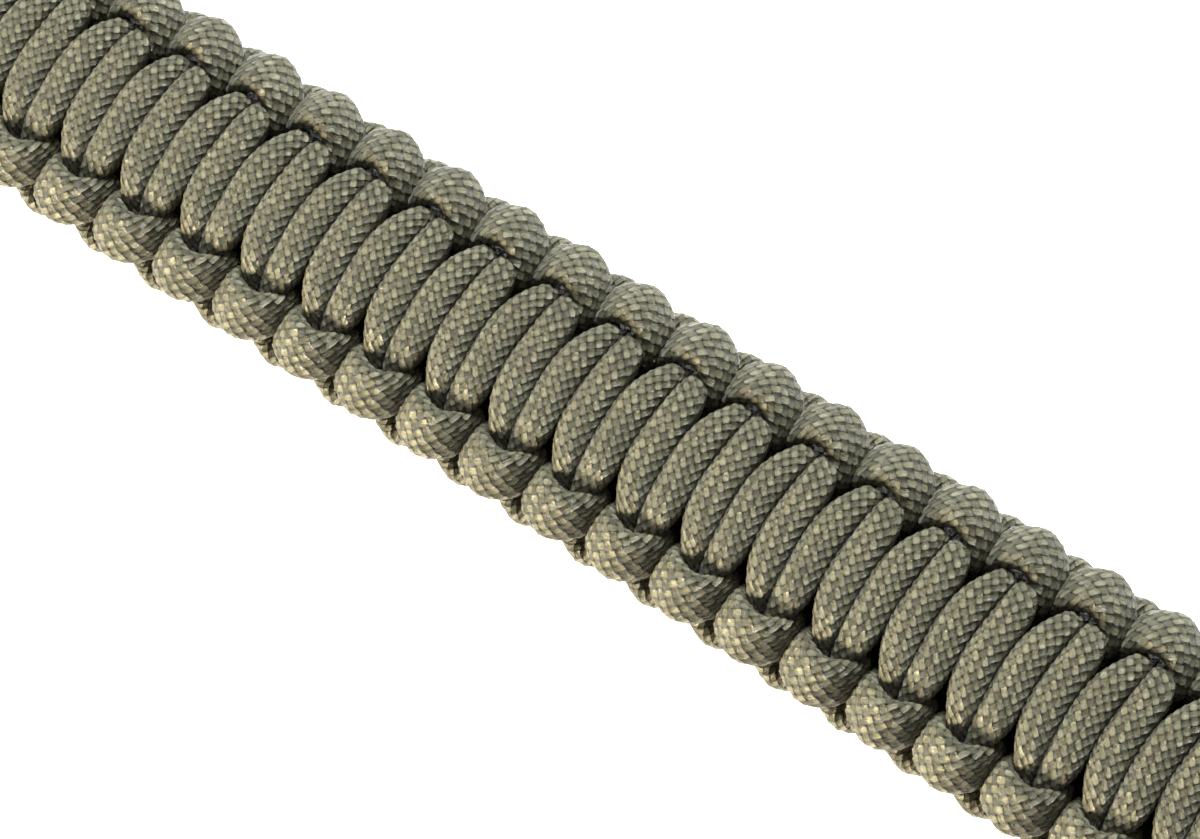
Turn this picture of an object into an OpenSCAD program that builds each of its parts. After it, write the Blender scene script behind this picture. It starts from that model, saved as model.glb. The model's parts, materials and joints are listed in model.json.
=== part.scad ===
// Paracord bracelet, unfastened and lying flat: two working cords knotted over two core strands,
// with one half of a side-release clasp at each end.
// The band runs along X. The face is up, and the back rests on the plane Z = 0.

/* [Weave] */
// Number of whole knots; each has two bars on the face and two on the back
knots = 26; // [22:1:30]
// Length of band that one knot takes
knot_pitch = 7.4; // [7.2:0.1:8]
// Width of the band over its edge turns
weave_w = 26.3; // [25.6:0.1:27.5]
// Thickness of the band over the bars
weave_t = 10.4; // [10.3:0.1:11.2]
// How far the edge turns lie along the band from the middles of their bars, which bow
bow = 0.6; // [0:0.1:0.7]

/* [Core] */
// Diameter of a core strand, drawn tight
core_d = 3.5; // [3.2:0.05:3.55]
// Gap kept between cords, and between a cord and the clasp
cord_gap = 0.1; // [0.08:0.01:0.14]

/* [Clasp] */
// Width of both clasp halves
clasp_w = 25; // [24:0.5:28]
// Thickness of both clasp halves
clasp_t = 9.5; // [9:0.25:10.25]
// Radius of the clasp's long edges
clasp_edge_r = 3; // [2:0.25:4]
// Diameter of the bar that the cord goes round
bar_d = 3; // [2.6:0.1:3.1]
// Depth that each end of the bar is set in its cheek
bar_seat = 1; // [0.5:0.25:2]
// Thickness of the cheeks' ends in front of the bar
lip_wall = 0.7; // [0.5:0.1:1]
// Width of the slot that the cord passes through
slot_w = 16; // [16:0.25:17]
// Distance from the end of the weave to each bar
bar_reach = 8; // [7.8:0.1:9]
// Length of plastic past the slot on the socket
socket_l = 20; // [19:0.5:24]
// Length of plastic past the slot on the plug
shoulder_l = 4; // [3:0.5:6]
// Thickness of the socket's side walls
wall_t = 2; // [1.6:0.1:2.4]
// Length of the prongs
prong_l = 15; // [14:0.5:16]
// Height of the prongs
prong_t = 5.6; // [5:0.1:6]
// Width of a prong's arm
arm_w = 2.4; // [2:0.1:3]
// Length of the hooked head of a prong
hook_l = 7; // [6:0.25:8]
// How far the head of a prong slants in towards its tip
tip_slant = 0.8; // [0.5:0.1:1.2]
// Width of the guide between the prongs
guide_w = 4.5; // [3.5:0.25:6]
// Height of the guide between the prongs
guide_t = 2.4; // [2:0.1:3]
// How much shorter the guide is than the prongs
guide_short = 2; // [1:0.5:4]
// Depth that the prongs and the guide are rooted in the plug's body
root_l = 0.5; // [0.3:0.1:1]
// Running clearance between plug and socket
fit_gap = 0.3; // [0.2:0.05:0.4]

/* [Hidden] */
cord_colour = [0.47, 0.45, 0.38];
clasp_colour = [0.16, 0.17, 0.15];

weave_l = knots * knot_pitch;
half_w = weave_w / 2;
half_t = weave_t / 2;
core_r = core_d / 2;
core_y = core_r + cord_gap / 2;
// Distance across the band at which the bow is complete
bow_reach = 0.75 * half_w;
bar_r = bar_d / 2;
wrap_r = bar_r + cord_gap + core_r;
slot_l = wrap_r + core_r + 2 * cord_gap;
lip_l = bar_r + lip_wall;
arm_out = clasp_w / 2 - wall_t - fit_gap;
pocket_l = prong_l + 2 * fit_gap;
front_x = -(bar_reach + slot_l + socket_l);
back_x = weave_l + bar_reach + slot_l + shoulder_l + prong_l;
middle_x = (front_x + back_x) / 2;

// A quarter of a knot, from the side of a bar to the side of the edge turn that the bar runs into.
// Each row is one section of the cord: its shift along the band from the middle of the bar, as a
// share of knot_pitch; its inner and outer edge, across as a share of half_w and up as a share of
// half_t; half its breadth, as a share of knot_pitch; and how far its breadth is turned up out of
// the band's line, in degrees.
SHIFT = 0;
INNER = 1;
OUTER = 2;
BREADTH = 3;
TURN = 4;
QUARTER = [
    [-0.014, [0.24, 0.40], [0.29, 1.00], 0.215, 0],
    [-0.115, [0.44, 0.14], [0.59, 0.54], 0.110, 0],
    [-0.125, [0.61, -0.30], [0.94, -0.28], 0.092, 10],
    [0.068, [0.61, -0.79], [0.98, -0.31], 0.155, 58],
];
// The crown of an edge turn, where each working cord begins and ends
CROWN = [0.250, [0.60, -0.81], [0.98, -0.31], 0.165, 90];
// A cut and melted cord end: its size as a share of the crown's section, and its length as a share
// of knot_pitch
end_taper = 0.55;
end_share = 0.16;
cord_sides = 7;
core_sides = 8;
round_sides = 48;
// How far a cut runs out past the face that it opens
cut_over = 1;

// The core strand leaving the weave for the plug's bar: distance past the weave as a share of
// bar_reach, and height as a share of wrap_r
RISE = [[0.12, 0.02], [0.32, 0.16]];
// Angles round the plug's bar where that strand meets it and leaves it, and round the socket's bar,
// in degrees up from the band's line
PLUG_TURN = [120, -90];
SOCKET_TURN = [30, 270];
turn_step = 30;
// From the crown of the last edge turn to where the strand comes off the plug's bar: distance past
// the weave as a share of bar_reach, across as a share of half_w, height as a share of wrap_r
LEAD = [[0.00, 0.80, -0.86], [0.28, 0.67, -0.94], [0.53, 0.47, -1], [0.76, 0.28, -1]];
// Length of the straight run from the weave to the socket's bar, as a share of bar_reach
hitch_run = 0.35;
// The hitch on the socket's bar, after the strand has gone round it: distance in front of the weave
// as a share of bar_reach, distance across as a share of slot_w, height as a share of wrap_r
HITCH = [
    [0.74, 0.24, -0.99],
    [0.55, 0.34, -0.75],
    [0.43, 0.375, 0.05],
    [0.35, 0.32, 0.90],
    [0.31, 0.17, 1.32],
];
// Where the flat side of a prong's hooked head begins and ends, as shares of hook_l
hook_rise = 0.12;
hook_fall = 0.45;

function unit(v) = v / norm(v);

// A section is [centre, half breadth, half depth], the last two as vectors
function section(row) = let (
    deep = [0, row[OUTER][0] - row[INNER][0], row[OUTER][1] - row[INNER][1]],
    reach = [0, deep[1] * half_w, deep[2] * half_t] / 2,
    upright = unit([0, -reach[2], reach[1]]),
    mid = [0, row[INNER][0] * half_w, row[INNER][1] * half_t] + reach
) [
    [knot_pitch / 4 + row[SHIFT] * knot_pitch, mid[1], mid[2]],
    (cos(row[TURN]) * [1, 0, 0] + sin(row[TURN]) * upright) * row[BREADTH] * knot_pitch,
    reach
];

// The same section at the other end of its bar
function far_side(s) = [
    [knot_pitch / 2 - s[0][0], -s[0][1], s[0][2]],
    [s[1][0], s[1][1], -s[1][2]],
    [0, -s[2][1], s[2][2]]
];

// A bar runs from left to right, and the next one back again
function half_knot(s, k) = let (side = k % 2 == 0 ? 1 : -1) [
    [s[0][0] + k * knot_pitch / 2, side * s[0][1], s[0][2]],
    [side * s[1][0], s[1][1], side * s[1][2]],
    [0, side * s[2][1], s[2][2]]
];

// A section at the crown of an edge turn on the left, at a given place along the band
function crown_at(x, size = 1) = let (s = far_side(section(CROWN))) [
    [x, s[0][1], s[0][2]],
    s[1] * size,
    s[2] * size
];

// How far the bow moves a point along the band, from nothing in the middle to all of it at the
// edges, and how steeply that grows across the band
function bow_turn(y) = 180 * min(abs(y) / bow_reach, 1);
function bow_at(y) = bow * (1 - cos(bow_turn(y))) / 2;
function bow_slope(y) = sign(y) * sin(bow_turn(y)) * bow * PI / 2 / bow_reach;
function bowed(s) = let (slope = bow_slope(s[0][1])) [
    s[0] + [bow_at(s[0][1]), 0, 0],
    s[1] + [slope * s[1][1], 0, 0],
    s[2] + [slope * s[2][1], 0, 0]
];

// A round section of the cord that comes from the clasp, on the way to the first knot
function lead_section(centre, way) = let (
    side = unit(cross(way, [0, 0, 1])),
    rim = core_r * cos(180 / cord_sides)
) [centre, cross(way, side) * rim, side * rim];

// The points round one section, with a flat side on the outer edge
function outline(s, sides) = [
    for (i = [0 : sides - 1])
        let (a = 90 + (i + 0.5) * 360 / sides)
        s[0] + (s[1] * cos(a) + s[2] * sin(a)) / cos(180 / sides)
];

// A closed solid through a list of sections
module swept(sections, sides) {
    count = len(sections);
    points = [for (s = sections) each outline(s, sides)];
    walls = [
        for (i = [0 : count - 2], j = [0 : sides - 1])
            let (a = i * sides + j, b = i * sides + (j + 1) % sides)
            each [[a, a + sides, b + sides], [a, b + sides, b]]
    ];
    start = [for (j = [0 : sides - 1]) j];
    finish = [for (j = [sides - 1 : -1 : 0]) (count - 1) * sides + j];
    polyhedron(points, concat([start], walls, [finish]));
}

// Sections of a round cord along a list of points, each turned as little as possible from the last
function way_at(p, i) = unit(p[min(i + 1, len(p) - 1)] - p[max(i - 1, 0)]);
function carried(p, i, side) = let (way = way_at(p, i)) unit(side - (side * way) * way);
function round_sections(p, side, i = 0) = i == len(p) ? [] : let (
    s = carried(p, i, side),
    rim = core_r * cos(180 / core_sides)
) concat([[p[i], s * rim, cross(way_at(p, i), s) * rim]], round_sections(p, s, i + 1));

// The working cord that crosses the face: bars on the face, edge turns on the back
module working_cord() {
    quarter = [for (row = QUARTER) section(row)];
    bar = concat([for (i = [len(quarter) - 1 : -1 : 0]) far_side(quarter[i])], quarter);
    weave = [for (k = [0 : 2 * knots - 1]) each [for (s = bar) half_knot(s, k)]];
    tip = crown_at(-end_share * knot_pitch, end_taper);
    knotted = [for (s = concat([tip, crown_at(0)], weave, [crown_at(weave_l)])) bowed(s)];
    lead = [for (i = [1 : len(LEAD) - 1]) lead_section(lead_point(i), lead_way(i))];
    swept(concat(knotted, lead), cord_sides);
}

// One core strand on its way round the plug's bar, and back to a working cord's first section
function lead_point(i) = [
    weave_l + LEAD[i][0] * bar_reach + bow_at(LEAD[i][1] * half_w),
    -LEAD[i][1] * half_w,
    LEAD[i][2] * wrap_r
];
function under_bar() = [weave_l + bar_reach, -core_y, -wrap_r];
function lead_way(i) = i == len(LEAD) - 1
    ? unit(under_bar() - lead_point(i))
    : unit(lead_point(i + 1) - lead_point(i - 1));
function plug_wrap() = let (
    bar_x = weave_l + bar_reach,
    last = len(LEAD) - 1
) concat(
    [for (r = RISE) [weave_l + r[0] * bar_reach, -core_y, r[1] * wrap_r]],
    [
        for (a = [PLUG_TURN[0] : -turn_step : PLUG_TURN[1]])
            [bar_x + wrap_r * cos(a), -core_y, wrap_r * sin(a)]
    ],
    [lead_point(last) + lead_way(last) * cord_gap]
);

// Half of the hitch on the socket's bar: over the bar, round it, and up to the loop across the top
function socket_hitch() = concat(
    [[0, core_y, 0], [-hitch_run * bar_reach, core_y, 0]],
    [
        for (a = [SOCKET_TURN[0] : turn_step : SOCKET_TURN[1]])
            [-bar_reach + wrap_r * cos(a), core_y, wrap_r * sin(a)]
    ],
    [for (h = HITCH) [-h[0] * bar_reach, h[1] * slot_w, h[2] * wrap_r]]
);

function reversed(list) = [for (i = [len(list) - 1 : -1 : 0]) list[i]];
function mirrored(list, m) = [for (p = list) [p[0] * m[0], p[1] * m[1], p[2] * m[2]]];

module core_cord() {
    wrap = plug_wrap();
    hitch = socket_hitch();
    route = concat(
        reversed(mirrored(wrap, [1, -1, -1])),
        hitch,
        reversed(mirrored(hitch, [1, -1, 1])),
        wrap
    );
    color(cord_colour)
        placed() swept(round_sections(route, [0, 1, 0]), core_sides);
}

module front_cord() {
    color(cord_colour)
        placed() working_cord();
}

module back_cord() {
    color(cord_colour)
        placed() rotate([180, 0, 0]) working_cord();
}

// From the weave's own axes to the part's: middle of its length over the origin, back on the plane
module placed() {
    translate([-middle_x, 0, half_t]) children();
}

// A length of the clasp's section along X, with rounded long edges
module clasp_bar(length, width, height, edge_r) {
    rotate([90, 0, 90])
        linear_extrude(length)
            rounded(width, height, edge_r);
}

module rounded(width, height, r) {
    square([width - 2 * r, height], center = true);
    square([width, height - 2 * r], center = true);
    for (x = [-1, 1], y = [-1, 1])
        translate([x * (width / 2 - r), y * (height / 2 - r)])
            circle(r, $fn = round_sides);
}

// Cheeks, slot and bar, with the bar on the origin and the clasp's body towards +X
module cord_slot(body_l) {
    difference() {
        translate([-lip_l, 0, 0]) clasp_bar(lip_l + slot_l + body_l, clasp_w, clasp_t, clasp_edge_r);
        translate([-lip_l - cut_over, -slot_w / 2, -clasp_t])
            cube([lip_l + slot_l + cut_over, slot_w, 2 * clasp_t]);
    }
    rotate([90, 0, 0])
        cylinder(h = slot_w + 2 * bar_seat, d = bar_d, center = true, $fn = round_sides);
}

module clasp_socket() {
    mouth = slot_l + socket_l;
    window_l = hook_l + 2 * fit_gap;
    window_x = mouth - prong_l - fit_gap;
    pocket_w = clasp_w - 2 * wall_t;
    pocket_t = prong_t + 2 * fit_gap;
    color(clasp_colour)
        placed()
            translate([-bar_reach, 0, 0])
                mirror([1, 0, 0])
                    difference() {
                        cord_slot(socket_l);
                        translate([mouth - pocket_l, -pocket_w / 2, -pocket_t / 2])
                            cube([pocket_l + cut_over, pocket_w, pocket_t]);
                        translate([window_x, -clasp_w, -pocket_t / 2])
                            cube([window_l, 2 * clasp_w, pocket_t]);
                    }
}

// A prong: a springy arm with a hooked head that stands out into the socket's window
module prong() {
    tip_in = arm_out - arm_w;
    hook_x = prong_l - hook_l;
    hook_out = clasp_w / 2 - fit_gap;
    translate([0, 0, -prong_t / 2])
        linear_extrude(prong_t)
            polygon([
                [-root_l, tip_in],
                [prong_l, tip_in],
                [prong_l, arm_out - tip_slant],
                [hook_x + hook_l * hook_fall, hook_out],
                [hook_x + hook_l * hook_rise, hook_out],
                [hook_x, arm_out],
                [-root_l, arm_out],
            ]);
}

module clasp_plug() {
    body_l = slot_l + shoulder_l;
    color(clasp_colour)
        placed()
            translate([weave_l + bar_reach, 0, 0]) {
                cord_slot(shoulder_l);
                translate([body_l, 0, 0]) {
                    prong();
                    mirror([0, 1, 0]) prong();
                    translate([-root_l, -guide_w / 2, -guide_t / 2])
                        cube([prong_l - guide_short + root_l, guide_w, guide_t]);
                }
            }
}

core_cord();
front_cord();
back_cord();
clasp_socket();
clasp_plug();
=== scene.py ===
"""Paracord bracelet in cobra weave, lying straight on a white surface with its clasp halves apart.

Everything is in metres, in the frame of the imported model: X along the band, Z up out of the face.
"""
import json
import math

import bpy
import numpy as np
from mathutils import Matrix, Vector

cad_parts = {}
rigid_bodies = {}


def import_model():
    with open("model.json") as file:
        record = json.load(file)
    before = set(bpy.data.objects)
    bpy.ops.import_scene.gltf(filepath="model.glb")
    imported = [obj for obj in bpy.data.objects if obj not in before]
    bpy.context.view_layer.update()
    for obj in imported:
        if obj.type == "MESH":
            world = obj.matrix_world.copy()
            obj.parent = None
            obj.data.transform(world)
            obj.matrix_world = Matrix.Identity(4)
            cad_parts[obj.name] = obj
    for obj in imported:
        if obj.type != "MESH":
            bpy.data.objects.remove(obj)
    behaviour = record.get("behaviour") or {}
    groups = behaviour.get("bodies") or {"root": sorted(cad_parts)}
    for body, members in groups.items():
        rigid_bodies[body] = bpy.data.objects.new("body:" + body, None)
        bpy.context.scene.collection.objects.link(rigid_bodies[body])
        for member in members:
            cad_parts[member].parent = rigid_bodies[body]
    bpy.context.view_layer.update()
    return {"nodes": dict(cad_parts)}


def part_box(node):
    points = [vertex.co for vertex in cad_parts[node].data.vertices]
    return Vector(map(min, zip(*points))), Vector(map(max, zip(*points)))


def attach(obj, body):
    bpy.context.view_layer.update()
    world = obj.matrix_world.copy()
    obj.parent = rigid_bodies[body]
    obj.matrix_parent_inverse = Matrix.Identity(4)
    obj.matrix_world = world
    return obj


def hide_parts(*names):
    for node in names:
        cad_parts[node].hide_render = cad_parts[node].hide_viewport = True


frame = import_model()

# The view: a long macro lens over the band, turned so that the band crosses the picture from the
# upper left to the lower right. The picture is 1200 x 839.
lens_mm = 105
sensor_mm = 36
nearest = 0.01
aim = Vector((0.0038, -0.00071, 0.0082))
distance = 0.3345
lean_along = math.radians(12.8)
lean_across = math.radians(-5)
roll = math.radians(33.4)

back = Vector((math.tan(lean_along), math.tan(lean_across), 1)).normalized()
up = (Vector((0, 1, 0)) - back * back.y).normalized()
turned = Matrix((up.cross(back), up, back)).transposed() @ Matrix.Rotation(roll, 3, "Z")
bpy.ops.object.camera_add(location=aim + back * distance, rotation=turned.to_euler())
camera = bpy.context.object
camera.data.lens = lens_mm
camera.data.sensor_width = sensor_mm
camera.data.clip_start = nearest
camera.data.dof.use_dof = False
bpy.context.scene.camera = camera
bpy.context.scene.view_settings.view_transform = "Standard"


# The studio: a white table that glows, a white room and two round soft lamps. The cool lamp stands
# on the far side of the band, and the warm one low on the near side.
class Wire:
    """An output in a material, so that the maths on it is written as maths"""

    def __init__(self, tree, socket):
        self.tree, self.socket = tree, socket

    def node(self, kind, settings=None, inputs=None, output=0):
        made = self.tree.nodes.new("ShaderNode" + kind)
        for name, value in (settings or {}).items():
            setattr(made, name, value)
        for name, value in (inputs or {}).items():
            if isinstance(value, Wire):
                self.tree.links.new(value.socket, made.inputs[name])
            else:
                made.inputs[name].default_value = value
        return Wire(self.tree, made.outputs[output])

    def maths(self, operation, *values):
        return self.node("Math", {"operation": operation}, dict(enumerate(values)))

    def __add__(self, other):
        return self.maths("ADD", self, other)

    def __sub__(self, other):
        return self.maths("SUBTRACT", self, other)

    def __rsub__(self, other):
        return self.maths("SUBTRACT", other, self)

    def __mul__(self, other):
        return self.maths("MULTIPLY", self, other)

    def __pow__(self, other):
        return self.maths("POWER", self, other)

    __radd__, __rmul__ = __add__, __mul__

    def __abs__(self):
        return self.maths("ABSOLUTE", self)

    def floor(self):
        return self.maths("FLOOR", self)

    def fract(self):
        return self.maths("FRACT", self)

    def cosine(self):
        return self.maths("COSINE", self)

    def above(self, other):
        return self.maths("GREATER_THAN", self, other)

    def most(self, other):
        return self.maths("MAXIMUM", self, other)

    def between(self, low, high, to_low=0.0, to_high=1.0):
        """A smooth step from one value to another, as this one goes from low to high"""
        return self.node(
            "MapRange",
            {"interpolation_type": "SMOOTHSTEP"},
            {"Value": self, "From Min": low, "From Max": high, "To Min": to_low, "To Max": to_high},
        )

    def mix(self, a, b):
        """Colour a where this value is 0, and colour b where it is 1"""
        return self.node("Mix", {"data_type": "RGBA"}, {0: self, 6: a, 7: b}, 2)


def new_material(name):
    """An empty material, a wire to begin with, and its Principled shader"""
    made = bpy.data.materials.new(name)
    made.use_nodes = True
    tree = made.node_tree
    return made, Wire(tree, None), tree.nodes["Principled BSDF"]


def feed(wire, shader, name):
    wire.tree.links.new(wire.socket, shader.inputs[name])


def lamp(name, place, width, watts, colour):
    """A round lamp that points at the middle of the band"""
    way = (-Vector(place)).to_track_quat("-Z", "Y")
    bpy.ops.object.light_add(type="AREA", location=place, rotation=way.to_euler())
    made = bpy.context.object
    made.name = name
    made.data.shape = "DISK"
    made.data.size = width
    made.data.energy = watts
    made.data.color = colour


table_w = 6
table_drop = 0.0002
table_glow = 1.5
room_glow = 0.12
bpy.ops.object.select_all(action="DESELECT")
bpy.ops.mesh.primitive_plane_add(size=table_w, location=(0, 0, -table_drop))
table = bpy.context.object
table.name = "white_table"
white, start, shader = new_material("white_glowing_table")
shader.inputs["Base Color"].default_value = (0.8, 0.8, 0.8, 1)
shader.inputs["Emission Color"].default_value = (1, 1, 1, 1)
shader.inputs["Emission Strength"].default_value = table_glow
table.data.materials.append(white)

world = bpy.data.worlds.new("white_room")
world.use_nodes = True
world.node_tree.nodes["Background"].inputs["Color"].default_value = (1, 1, 1, 1)
world.node_tree.nodes["Background"].inputs["Strength"].default_value = room_glow
bpy.context.scene.world = world
lamp("cool_lamp", place=(-0.2, 0.5, 0.55), width=0.22, watts=17.2, colour=(0.98, 1.0, 0.91))
lamp("warm_lamp", place=(-0.2, -0.5, 0.07), width=0.13, watts=11.0, colour=(1.0, 0.87, 0.58))


# The working cords: 4 mm cord with a plain braided sheath of 22 nylon yarns, half wound each way,
# over one and under one. Two cords are knotted in turn round the core, one across the face and one
# across the back. Each sheath follows its solid, with every yarn raised where it lies on top.
knots = 26
pitch = 0.0074
half_w = 0.01315
half_t = 0.0052
cord_r = 0.00175
# From the weave to the nearest edge of the socket, and to the middle of each clasp bar; and the
# radius of a core strand's turn round a bar
socket_gap = 0.0058
bar_reach = 0.008
wrap_r = 0.00325
weave_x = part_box("clasp_socket")[1].x + socket_gap
weave_l = knots * pitch
# How far the edge turns lie along the band from the middles of their bars, which bow, and how far
# across the band the bow is complete
bow = 0.0008
bow_reach = 0.0092
slope_step = 1e-6
# Each row is a section, from the middle of a bar to the crown of an edge turn: shift along the band
# as a share of pitch; inner and outer edge, across as a share of half_w and up as a share of half_t;
# half its breadth as a share of pitch; and the turn of its breadth, in degrees. A bar goes on as the
# left leg of one turn, which lies over its neighbour, and as the right leg of another.
LEFT_LEG = [
    [0.000, (0.00, 0.36), (0.00, 0.952), 0.255, 0],
    [-0.004, (0.21, 0.36), (0.255, 0.948), 0.252, 0],
    [-0.035, (0.34, 0.27), (0.44, 0.90), 0.236, 0],
    [-0.083, (0.42, 0.12), (0.57, 0.68), 0.192, 0],
    [-0.116, (0.47, -0.05), (0.68, 0.36), 0.156, 0],
    [-0.130, (0.55, -0.42), (0.89, -0.30), 0.134, 10],
    [0.065, (0.62, -0.76), (0.955, -0.30), 0.165, 68],
    [0.170, (0.635, -0.79), (0.98, -0.33), 0.168, 83],
    [0.250, (0.635, -0.80), (0.985, -0.34), 0.168, 90],
]
RIGHT_LEG = [
    [0.000, (0.00, 0.36), (0.00, 0.952), 0.255, 0],
    [-0.004, (0.21, 0.36), (0.255, 0.948), 0.250, 0],
    [-0.038, (0.34, 0.27), (0.44, 0.90), 0.215, 0],
    [-0.088, (0.42, 0.12), (0.57, 0.68), 0.170, 0],
    [-0.120, (0.46, -0.05), (0.66, 0.36), 0.142, 0],
    [-0.125, (0.45, -0.42), (0.83, -0.18), 0.122, 8],
    [0.065, (0.59, -0.72), (0.945, -0.25), 0.165, 60],
    [0.170, (0.625, -0.78), (0.975, -0.32), 0.168, 80],
    [0.250, (0.635, -0.80), (0.985, -0.34), 0.168, 90],
]
# From the last crown to the plug's bar: distance past the weave as a share of bar_reach, across as
# a share of half_w, height as a share of wrap_r
LEAD = [(0.00, 0.80, -0.86), (0.28, 0.67, -0.94), (0.53, 0.47, -1), (0.76, 0.28, -1)]
# The melted tip: its length as a share of pitch, and its size as a share of the crown's
end_share = 0.16
end_taper = 0.55


def unit(v):
    return np.array(v, float) / np.linalg.norm(v)


def section(row):
    """Centre, half breadth and half depth of a row, as three vectors"""
    shift, inner, outer, breadth, turn = row
    deep = np.array([0, (outer[0] - inner[0]) * half_w, (outer[1] - inner[1]) * half_t]) / 2
    upright = unit([0, -deep[2], deep[1]])
    middle = np.array([(0.25 + shift) * pitch, inner[0] * half_w, inner[1] * half_t]) + deep
    angle = math.radians(turn)
    wide = (np.array([math.cos(angle), 0, 0]) + math.sin(angle) * upright) * breadth * pitch
    return np.array([middle, wide, deep])


def far_side(s):
    """The same section at the other end of its bar"""
    flipped = s * np.array([[-1, -1, 1], [1, 1, -1], [1, -1, 1]])
    flipped[0, 0] += pitch / 2
    return flipped


def half_knot(s, k):
    """A section in half knot k: a bar runs from left to right, and the next one back again"""
    side = 1 if k % 2 == 0 else -1
    moved = s * np.array([[1, side, 1], [side, 1, side], [1, side, 1]])
    moved[0, 0] += k * pitch / 2
    return moved


def bow_at(y):
    """How far the bow moves a point along the band: nothing in the middle, all of it at the edges"""
    return bow * (1 - math.cos(math.pi * min(abs(y) / bow_reach, 1))) / 2


def bowed(s):
    """A section moved and slanted along the band by the bow"""
    y = s[0, 1]
    slope = (bow_at(y + slope_step) - bow_at(y - slope_step)) / (2 * slope_step)
    moved = s.copy()
    moved[0, 0] += bow_at(y)
    moved[1:, 0] += s[1:, 1] * slope
    return moved


def working_cord():
    """The sections of the cord that crosses the face, from its melted tip to the plug's bar"""
    bar = [far_side(section(row)) for row in RIGHT_LEG[:0:-1]]
    bar += [section(row) for row in LEFT_LEG]
    tip = bar[0] * np.array([[1, 1, 1], [end_taper] * 3, [end_taper] * 3])
    tip[0, 0] -= end_share * pitch
    sections = [tip]
    for k in range(2 * knots):
        sections += [half_knot(s, k) for s in bar[:-1]]
    sections.append(half_knot(bar[-1], 2 * knots - 1))
    lead = [
        np.array([weave_l + along * bar_reach, -across * half_w, rise * wrap_r])
        for along, across, rise in LEAD
    ]
    under_bar = np.array([weave_l + bar_reach, -cord_r, -wrap_r])
    for before, point, after in zip(lead, lead[1:], lead[2:] + [under_bar]):
        way = unit(after - before)
        side = unit(np.cross(way, [0, 0, 1]))
        sections.append(np.array([point, np.cross(way, side) * cord_r, side * cord_r]))
    return np.array([bowed(s) for s in sections])


def run_along(points):
    """How far along a list of points each one lies"""
    return np.concatenate([[0], np.cumsum(np.linalg.norm(np.diff(points, axis=0), axis=1))])


def spline(sections, shares):
    """Sections on the natural cubic curve through the given ones, at shares of its length"""
    flat = sections.reshape(len(sections), -1)
    run = run_along(flat[:, :3])
    gap = np.diff(run)
    count = len(run)
    system = np.eye(count)
    known = np.zeros_like(flat)
    for i in range(1, count - 1):
        system[i, i - 1:i + 2] = gap[i - 1], 2 * (gap[i - 1] + gap[i]), gap[i]
        known[i] = 6 * ((flat[i + 1] - flat[i]) / gap[i] - (flat[i] - flat[i - 1]) / gap[i - 1])
    bend = np.linalg.solve(system, known)
    at = np.clip(shares * run[-1], 0, run[-1])
    i = np.clip(np.searchsorted(run, at, side="right") - 1, 0, count - 2)
    h = gap[i][:, None]
    a = (run[i + 1] - at)[:, None]
    b = (at - run[i])[:, None]
    curve = (
        (bend[i] * a**3 + bend[i + 1] * b**3) / (6 * h)
        + (flat[i] / h - bend[i] * h / 6) * a
        + (flat[i + 1] / h - bend[i + 1] * h / 6) * b
    )
    return curve.reshape(-1, 3, 3)


# The sheath's outline is an oval at 2 and squarer above it. Its length is measured in steps
roundness = 2.8
outline_steps = 96


def outline(sections, shares):
    """The point of each section's outline at a share of its way round from the inner side, and the
    way out of the cord there"""
    wide = np.linalg.norm(sections[:, 1], axis=1)[:, None]
    deep = np.linalg.norm(sections[:, 2], axis=1)[:, None]
    angles = np.radians(np.linspace(-90, 270, outline_steps + 1))
    across = np.sign(np.cos(angles)) * np.abs(np.cos(angles)) ** (2 / roundness) * wide
    upward = np.sign(np.sin(angles)) * np.abs(np.sin(angles)) ** (2 / roundness) * deep
    steps = np.hypot(np.diff(across), np.diff(upward))
    run = np.concatenate([np.zeros_like(wide), np.cumsum(steps, axis=1)], axis=1)
    run /= run[:, -1:]
    x = np.array([np.interp(share, r, a) for share, r, a in zip(shares, run, across)])
    y = np.array([np.interp(share, r, a) for share, r, a in zip(shares, run, upward)])
    out = np.stack([x / wide[:, 0] ** 2, y / deep[:, 0] ** 2], axis=1)
    out /= np.linalg.norm(out, axis=1)[:, None]
    unit_wide = sections[:, 1] / wide
    unit_deep = sections[:, 2] / deep
    points = sections[:, 0] + unit_wide * x[:, None] + unit_deep * y[:, None]
    return points, unit_wide * out[:, :1] + unit_deep * out[:, 1:]


# The braid: crossings round the cord, and the length of a row of them; how far the braid turns
# round the cord in a row, as a share of its outline; and the height of the relief, of which a
# crossing's crest, the corners between crossings and a crossing's sides have a share each
columns = 22
row_l = 0.00052
twist = 0.006
relief = 0.00016
crest_lift = 0.4
corner_lift = -0.6
side_lift = -0.1
# Steps from one section to the next in measuring the cord's length
run_steps = 12


def sheath_grid(sections):
    """Rings of points on a braided sheath, and the place of each point in the braid

    Even columns take the crossings' crests and corners in turn, and odd ones lie at their sides.
    """
    sides = 2 * columns
    fine = spline(sections, np.linspace(0, 1, run_steps * len(sections)))
    run = run_along(fine[:, 0])
    share = np.linspace(0, 1, len(run))
    ring = np.arange(int(run[-1] / row_l))
    column = np.arange(sides + 1)
    uv = np.zeros((len(ring), sides + 1, 2))
    uv[:, :, 0] = column / 2
    uv[:, :, 1] = ring[:, None] + column % 2 / 2
    grid = np.zeros((len(ring), sides, 3))
    for j in range(sides):
        row = uv[:, j, 1]
        place = np.interp(np.clip(row * row_l, 0, run[-1]), run, share)
        points, outward = outline(spline(sections, place), (j / sides + row * twist) % 1)
        crest = np.where((ring + j // 2) % 2 == 0, crest_lift, corner_lift)
        grid[:, j] = points + outward * (relief * np.where(j % 2, side_lift, crest))[:, None]
    return grid, uv


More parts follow.
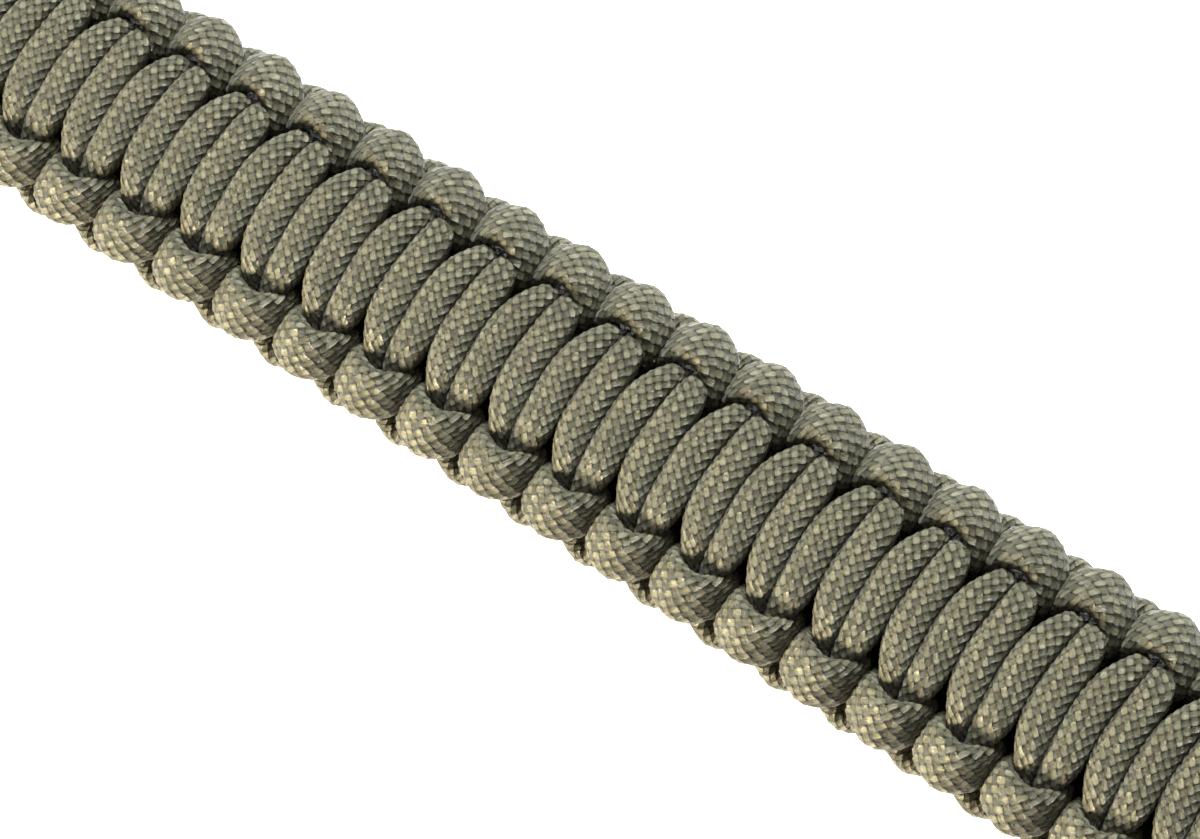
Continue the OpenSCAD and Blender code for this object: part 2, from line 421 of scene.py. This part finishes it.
def tube(name, grid, uv, material):
    """A closed mesh over a grid of rings, with a fan over each end"""
    rings, sides = grid.shape[:2]
    tips = [grid[0].mean(axis=0), grid[-1].mean(axis=0)]
    points = np.concatenate([grid.reshape(-1, 3), tips])
    near = np.arange(sides)
    next_one = (near + 1) % sides
    start = (np.arange(rings - 1) * sides)[:, None]
    quads = np.stack(
        [start + near, start + next_one, start + sides + next_one, start + sides + near], axis=2)
    last = (rings - 1) * sides
    first_fan = np.stack([np.full(sides, rings * sides), next_one, near], axis=1)
    last_fan = np.stack([np.full(sides, rings * sides + 1), last + near, last + next_one], axis=1)
    made = bpy.data.meshes.new(name)
    faces = quads.reshape(-1, 4).tolist() + first_fan.tolist() + last_fan.tolist()
    made.from_pydata(points.tolist(), [], faces)
    low, high = uv[:, :-1], uv[:, 1:]
    corners = [
        np.stack([low[:-1], high[:-1], high[1:], low[1:]], axis=2),
        np.stack([low[0], high[0], low[0]], axis=1),
        np.stack([low[-1], low[-1], high[-1]], axis=1),
    ]
    places = np.concatenate([group.reshape(-1, 2) for group in corners]).astype(np.float32)
    made.uv_layers.new(name="sheath").uv.foreach_set("vector", places.ravel())
    made.shade_smooth()
    made.materials.append(material)
    ob = bpy.data.objects.new(name, made)
    bpy.context.collection.objects.link(ob)
    return ob


def placed(grid, over=False):
    """From the weave's own axes to the part's, turned over for the cord that crosses the back"""
    moved = grid * np.array([1, -1, -1]) if over else grid.copy()
    return moved + np.array([weave_x, 0, half_t])


cord_light = (0.172, 0.162, 0.107, 1)
cord_dark = (0.040, 0.038, 0.023, 1)
gap_painted_shade_tone = (0.003, 0.003, 0.002, 1)
# A yarn's width as a share of its cell, how high it arches over the yarn that it crosses, how deep
# its sides fall, and the heights between which the painted shade in the gaps gives way to the yarn
yarn_w = 0.86
yarn_arch = 0.5
yarn_fall = 0.6
gap_painted_shade_floor = -0.6
gap_painted_shade_rim = 0.2
# The streaks of the filaments: their number along and across a cell, and how far apart in the
# noise lie one yarn and the next, and the yarns wound one way and the other
streak_along = 1.5
streak_across = 12
yarn_step = 3
winding_step = 40
# How much the tone differs from crossing to crossing, partly at random and partly as painted glints,
# and from streak to streak along the filaments, partly their own tone and partly painted sheen; how
# much the yarns that lean left are darkened, as painted shade where they turn their sheen away from
# the light; and how much all yarns are darkened
tone_and_glint_spread = 0.4
streak_and_sheen_spread = 0.8
left_yarn_painted_shade = 0.36
whole_shade = 0.02
nylon_roughness = 0.52
tone_gloss = 0.14
nylon_specular = 0.5
nylon_sheen = 0.08
yarn_depth = 0.00028
streak_lift = 0.5
tone_lift = 0.15


def yarn_height(on_top, off_along, off_across):
    """A yarn arches up where it lies on top and down where it lies under, and its sides fall"""
    arch = on_top * (off_along * math.pi).cosine() * yarn_arch
    return arch - (abs(off_across) * (2 / yarn_w)) ** 3 * yarn_fall


sheath_material, start, shader = new_material("olive_braided_nylon")
place = start.node("UVMap", {"uv_map": "sheath"})
u = start.node("SeparateXYZ", inputs={0: place}, output=0)
v = start.node("SeparateXYZ", inputs={0: place}, output=1)
right = (v + u) * 0.5
left = (v - u) * 0.5
right_cell = (right + 0.5).floor()
left_cell = (left + 0.5).floor()
off_right = right - right_cell
off_left = left - left_cell
# 1 in the cells where the yarn that leans right lies on top, and -1 in the others
right_on_top = 1 - ((right_cell + left_cell) * 0.5).fract() * 4
right_yarn = yarn_height(right_on_top, off_right, off_left)
left_yarn = yarn_height(0 - right_on_top, off_left, off_right)
height = right_yarn.most(left_yarn)
leans_left = left_yarn.above(right_yarn)
right_float = ((right - left_cell) * 0.5 + 0.5).floor()
left_float = ((left - right_cell - 1) * 0.5 + 0.5).floor()
yarn = left_cell + (right_cell - left_cell) * leans_left
float_count = right_float + (left_float - right_float) * leans_left
way = right + (left - right) * leans_left
off = off_left + (off_right - off_left) * leans_left
crossing = start.node("CombineXYZ", inputs={0: yarn, 1: float_count, 2: leans_left})
tone = start.node("TexWhiteNoise", {"noise_dimensions": "3D"}, {"Vector": crossing})
own = yarn * yarn_step + leans_left * winding_step
filaments = start.node("CombineXYZ", inputs={0: way * streak_along, 1: off * streak_across, 2: own})
streak = start.node(
    "TexNoise", {"noise_dimensions": "3D"}, {"Vector": filaments, "Scale": 1.0, "Detail": 1.0})
# Painted light in the yarns' colour: glints in the tones of crossings and streaks, and painted shade
# on the yarns that lean left
lightness = tone * tone_and_glint_spread + streak * streak_and_sheen_spread - leans_left * left_yarn_painted_shade - whole_shade
colour = lightness.between(0, 1).mix(cord_dark, cord_light)
# Painted shade in the gaps between the yarns, where they lie low under their neighbours
colour = height.between(gap_painted_shade_floor, gap_painted_shade_rim).mix(gap_painted_shade_tone, colour)
feed(colour, shader, "Base Color")
feed(nylon_roughness - tone * tone_gloss, shader, "Roughness")
lift = height + streak * streak_lift + tone * tone_lift
bump = start.node("Bump", inputs={"Strength": 1.0, "Distance": yarn_depth, "Height": lift})
feed(bump, shader, "Normal")
shader.inputs["Specular IOR Level"].default_value = nylon_specular
shader.inputs["Sheen Weight"].default_value = nylon_sheen

grid, uv = sheath_grid(working_cord())
cut = len(grid) // 2
for name, node, over in (("front_sheath", "front_cord", False), ("back_sheath", "back_cord", True)):
    whole = placed(grid, over)
    halves = (("socket_half", slice(0, cut + 1)), ("plug_half", slice(cut, None)))
    for half, part in halves:
        ob = tube(f"{name}_{half}", whole[part], uv[part], sheath_material)
        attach(ob, "root")
        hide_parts(node)


# The core: two strands of the same cord inside the weave, drawn round the plug's bar at one end,
# and hitched on the socket's bar at the other.
core_y = 0.0018
slot_w = 0.016
# The strand leaving the weave for the plug's bar: distance past the weave as a share of bar_reach,
# and height as a share of wrap_r
RISE = [(0.12, 0.02), (0.32, 0.16)]
# Length of the straight run from the weave to the socket's bar, as a share of bar_reach
hitch_run = 0.35
# Angles round the plug's bar and round the socket's, in degrees up from the band's line
PLUG_TURN = range(120, -91, -30)
SOCKET_TURN = range(30, 271, 30)
# The hitch on the socket's bar: distance in front of the weave as a share of bar_reach, across as
# a share of slot_w, height as a share of wrap_r
HITCH = [
    (0.74, 0.23, -0.78),
    (0.55, 0.33, -0.68),
    (0.43, 0.375, 0.05),
    (0.35, 0.32, 0.82),
    (0.31, 0.17, 1.14),
]


def round_bar(bar_x, y, degrees):
    """A point of a strand on its way round a clasp bar"""
    angle = math.radians(degrees)
    return bar_x + wrap_r * math.cos(angle), y, wrap_r * math.sin(angle)


def core_route():
    """The points of the core cord, from one working cord's end to the other's"""
    wrap = [(weave_l + along * bar_reach, -core_y, rise * wrap_r) for along, rise in RISE]
    wrap += [round_bar(weave_l + bar_reach, -core_y, angle) for angle in PLUG_TURN]
    along, across, rise = LEAD[-1]
    lead_y = -across * half_w
    wrap.append((weave_l + along * bar_reach + bow_at(lead_y), lead_y, rise * wrap_r))
    hitch = [(0, core_y, 0), (-hitch_run * bar_reach, core_y, 0)]
    hitch += [round_bar(-bar_reach, core_y, angle) for angle in SOCKET_TURN]
    hitch += [(-along * bar_reach, across * slot_w, rise * wrap_r) for along, across, rise in HITCH]
    wrap, hitch = np.array(wrap), np.array(hitch)
    straight = np.linspace((weave_l, core_y, 0), (0, core_y, 0), 2 * knots + 1)[1:-1]
    return np.concatenate([
        wrap[::-1] * [1, -1, -1], straight, hitch, hitch[::-1] * [1, -1, 1],
        straight[::-1] * [1, -1, 1], wrap,
    ])


def round_sections(route, side, radius):
    """Round sections along a route, each turned as little as possible from the last"""
    sections = []
    for i, point in enumerate(route):
        way = unit(route[min(i + 1, len(route) - 1)] - route[max(i - 1, 0)])
        side = unit(side - way * (side @ way))
        sections.append(np.array([point, side * radius, np.cross(way, side) * radius]))
    return np.array(sections)


grid, uv = sheath_grid(round_sections(core_route(), np.array([0, 1.0, 0]), cord_r))
ob = tube("core_sheath", placed(grid), uv, sheath_material)
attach(ob, "root")
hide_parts("core_cord")


# The clasp halves: the two halves of a side-release clasp, moulded in black-olive acetal, each held
# by its bar. Their edges are rounded in the mould, and their faces have its fine matte grain.
edge_round = 0.0004
edge_steps = 3
weld = 0.00001
flat_within = math.radians(1)
sharp_over = math.radians(25)
acetal_tone = (0.021, 0.022, 0.018, 1)
acetal_worn = (0.040, 0.041, 0.035, 1)
grain_scale = 5200
grain_depth = 0.00006
grain_strength = 0.35
cloud_scale = 160
smoothest = 0.6
roughest = 0.7
# Edges wear bright in patches: how sharp an edge begins to wear and is fully worn, and how dense
# the cloud is where a patch begins and is complete
wear_begins = 0.51
wear_full = 0.6
patch_begins = 0.4
patch_full = 0.65
worn_gloss = 0.12
acetal_specular = 0.3
clasp_material, start, shader = new_material("black_olive_acetal")
place = start.node("TexCoord", output="Object")
grain = start.node(
    "TexNoise", {"noise_dimensions": "3D"}, {"Vector": place, "Scale": grain_scale, "Detail": 2.0})
cloud = start.node(
    "TexNoise", {"noise_dimensions": "3D"}, {"Vector": place, "Scale": cloud_scale, "Detail": 3.0})
edge = start.node("NewGeometry", output="Pointiness")
wear = edge.between(wear_begins, wear_full) * cloud.between(patch_begins, patch_full)
feed(wear.mix(acetal_tone, acetal_worn), shader, "Base Color")
feed(cloud.between(0.3, 0.7, smoothest, roughest) - wear * worn_gloss, shader, "Roughness")
shader.inputs["Specular IOR Level"].default_value = acetal_specular
bump = start.node(
    "Bump", inputs={"Strength": grain_strength, "Distance": grain_depth, "Height": grain})
feed(bump, shader, "Normal")
for node in ("clasp_socket", "clasp_plug"):
    bpy.ops.object.select_all(action="DESELECT")
    bpy.context.view_layer.objects.active = frame["nodes"][node]
    frame["nodes"][node].select_set(True)
    bpy.ops.object.duplicate()
    half = bpy.context.object
    bpy.ops.object.parent_clear(type="CLEAR_KEEP_TRANSFORM")
    for key in [key for key in half.keys() if key.startswith("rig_")]:
        del half[key]
    half.name = node.replace("clasp", "moulded")
    bpy.ops.object.mode_set(mode="EDIT")
    bpy.ops.mesh.select_all(action="SELECT")
    bpy.ops.mesh.remove_doubles(threshold=weld)
    bpy.ops.mesh.dissolve_limited(angle_limit=flat_within)
    bpy.ops.object.mode_set(mode="OBJECT")
    rounding = half.modifiers.new("edges", "BEVEL")
    rounding.width = edge_round
    rounding.segments = edge_steps
    rounding.limit_method = "ANGLE"
    rounding.angle_limit = sharp_over
    bpy.ops.object.modifier_apply(modifier="edges")
    bpy.ops.object.shade_smooth_by_angle(angle=sharp_over)
    half.data.materials.clear()
    half.data.materials.append(clasp_material)
    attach(half, "root")
    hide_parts(node)
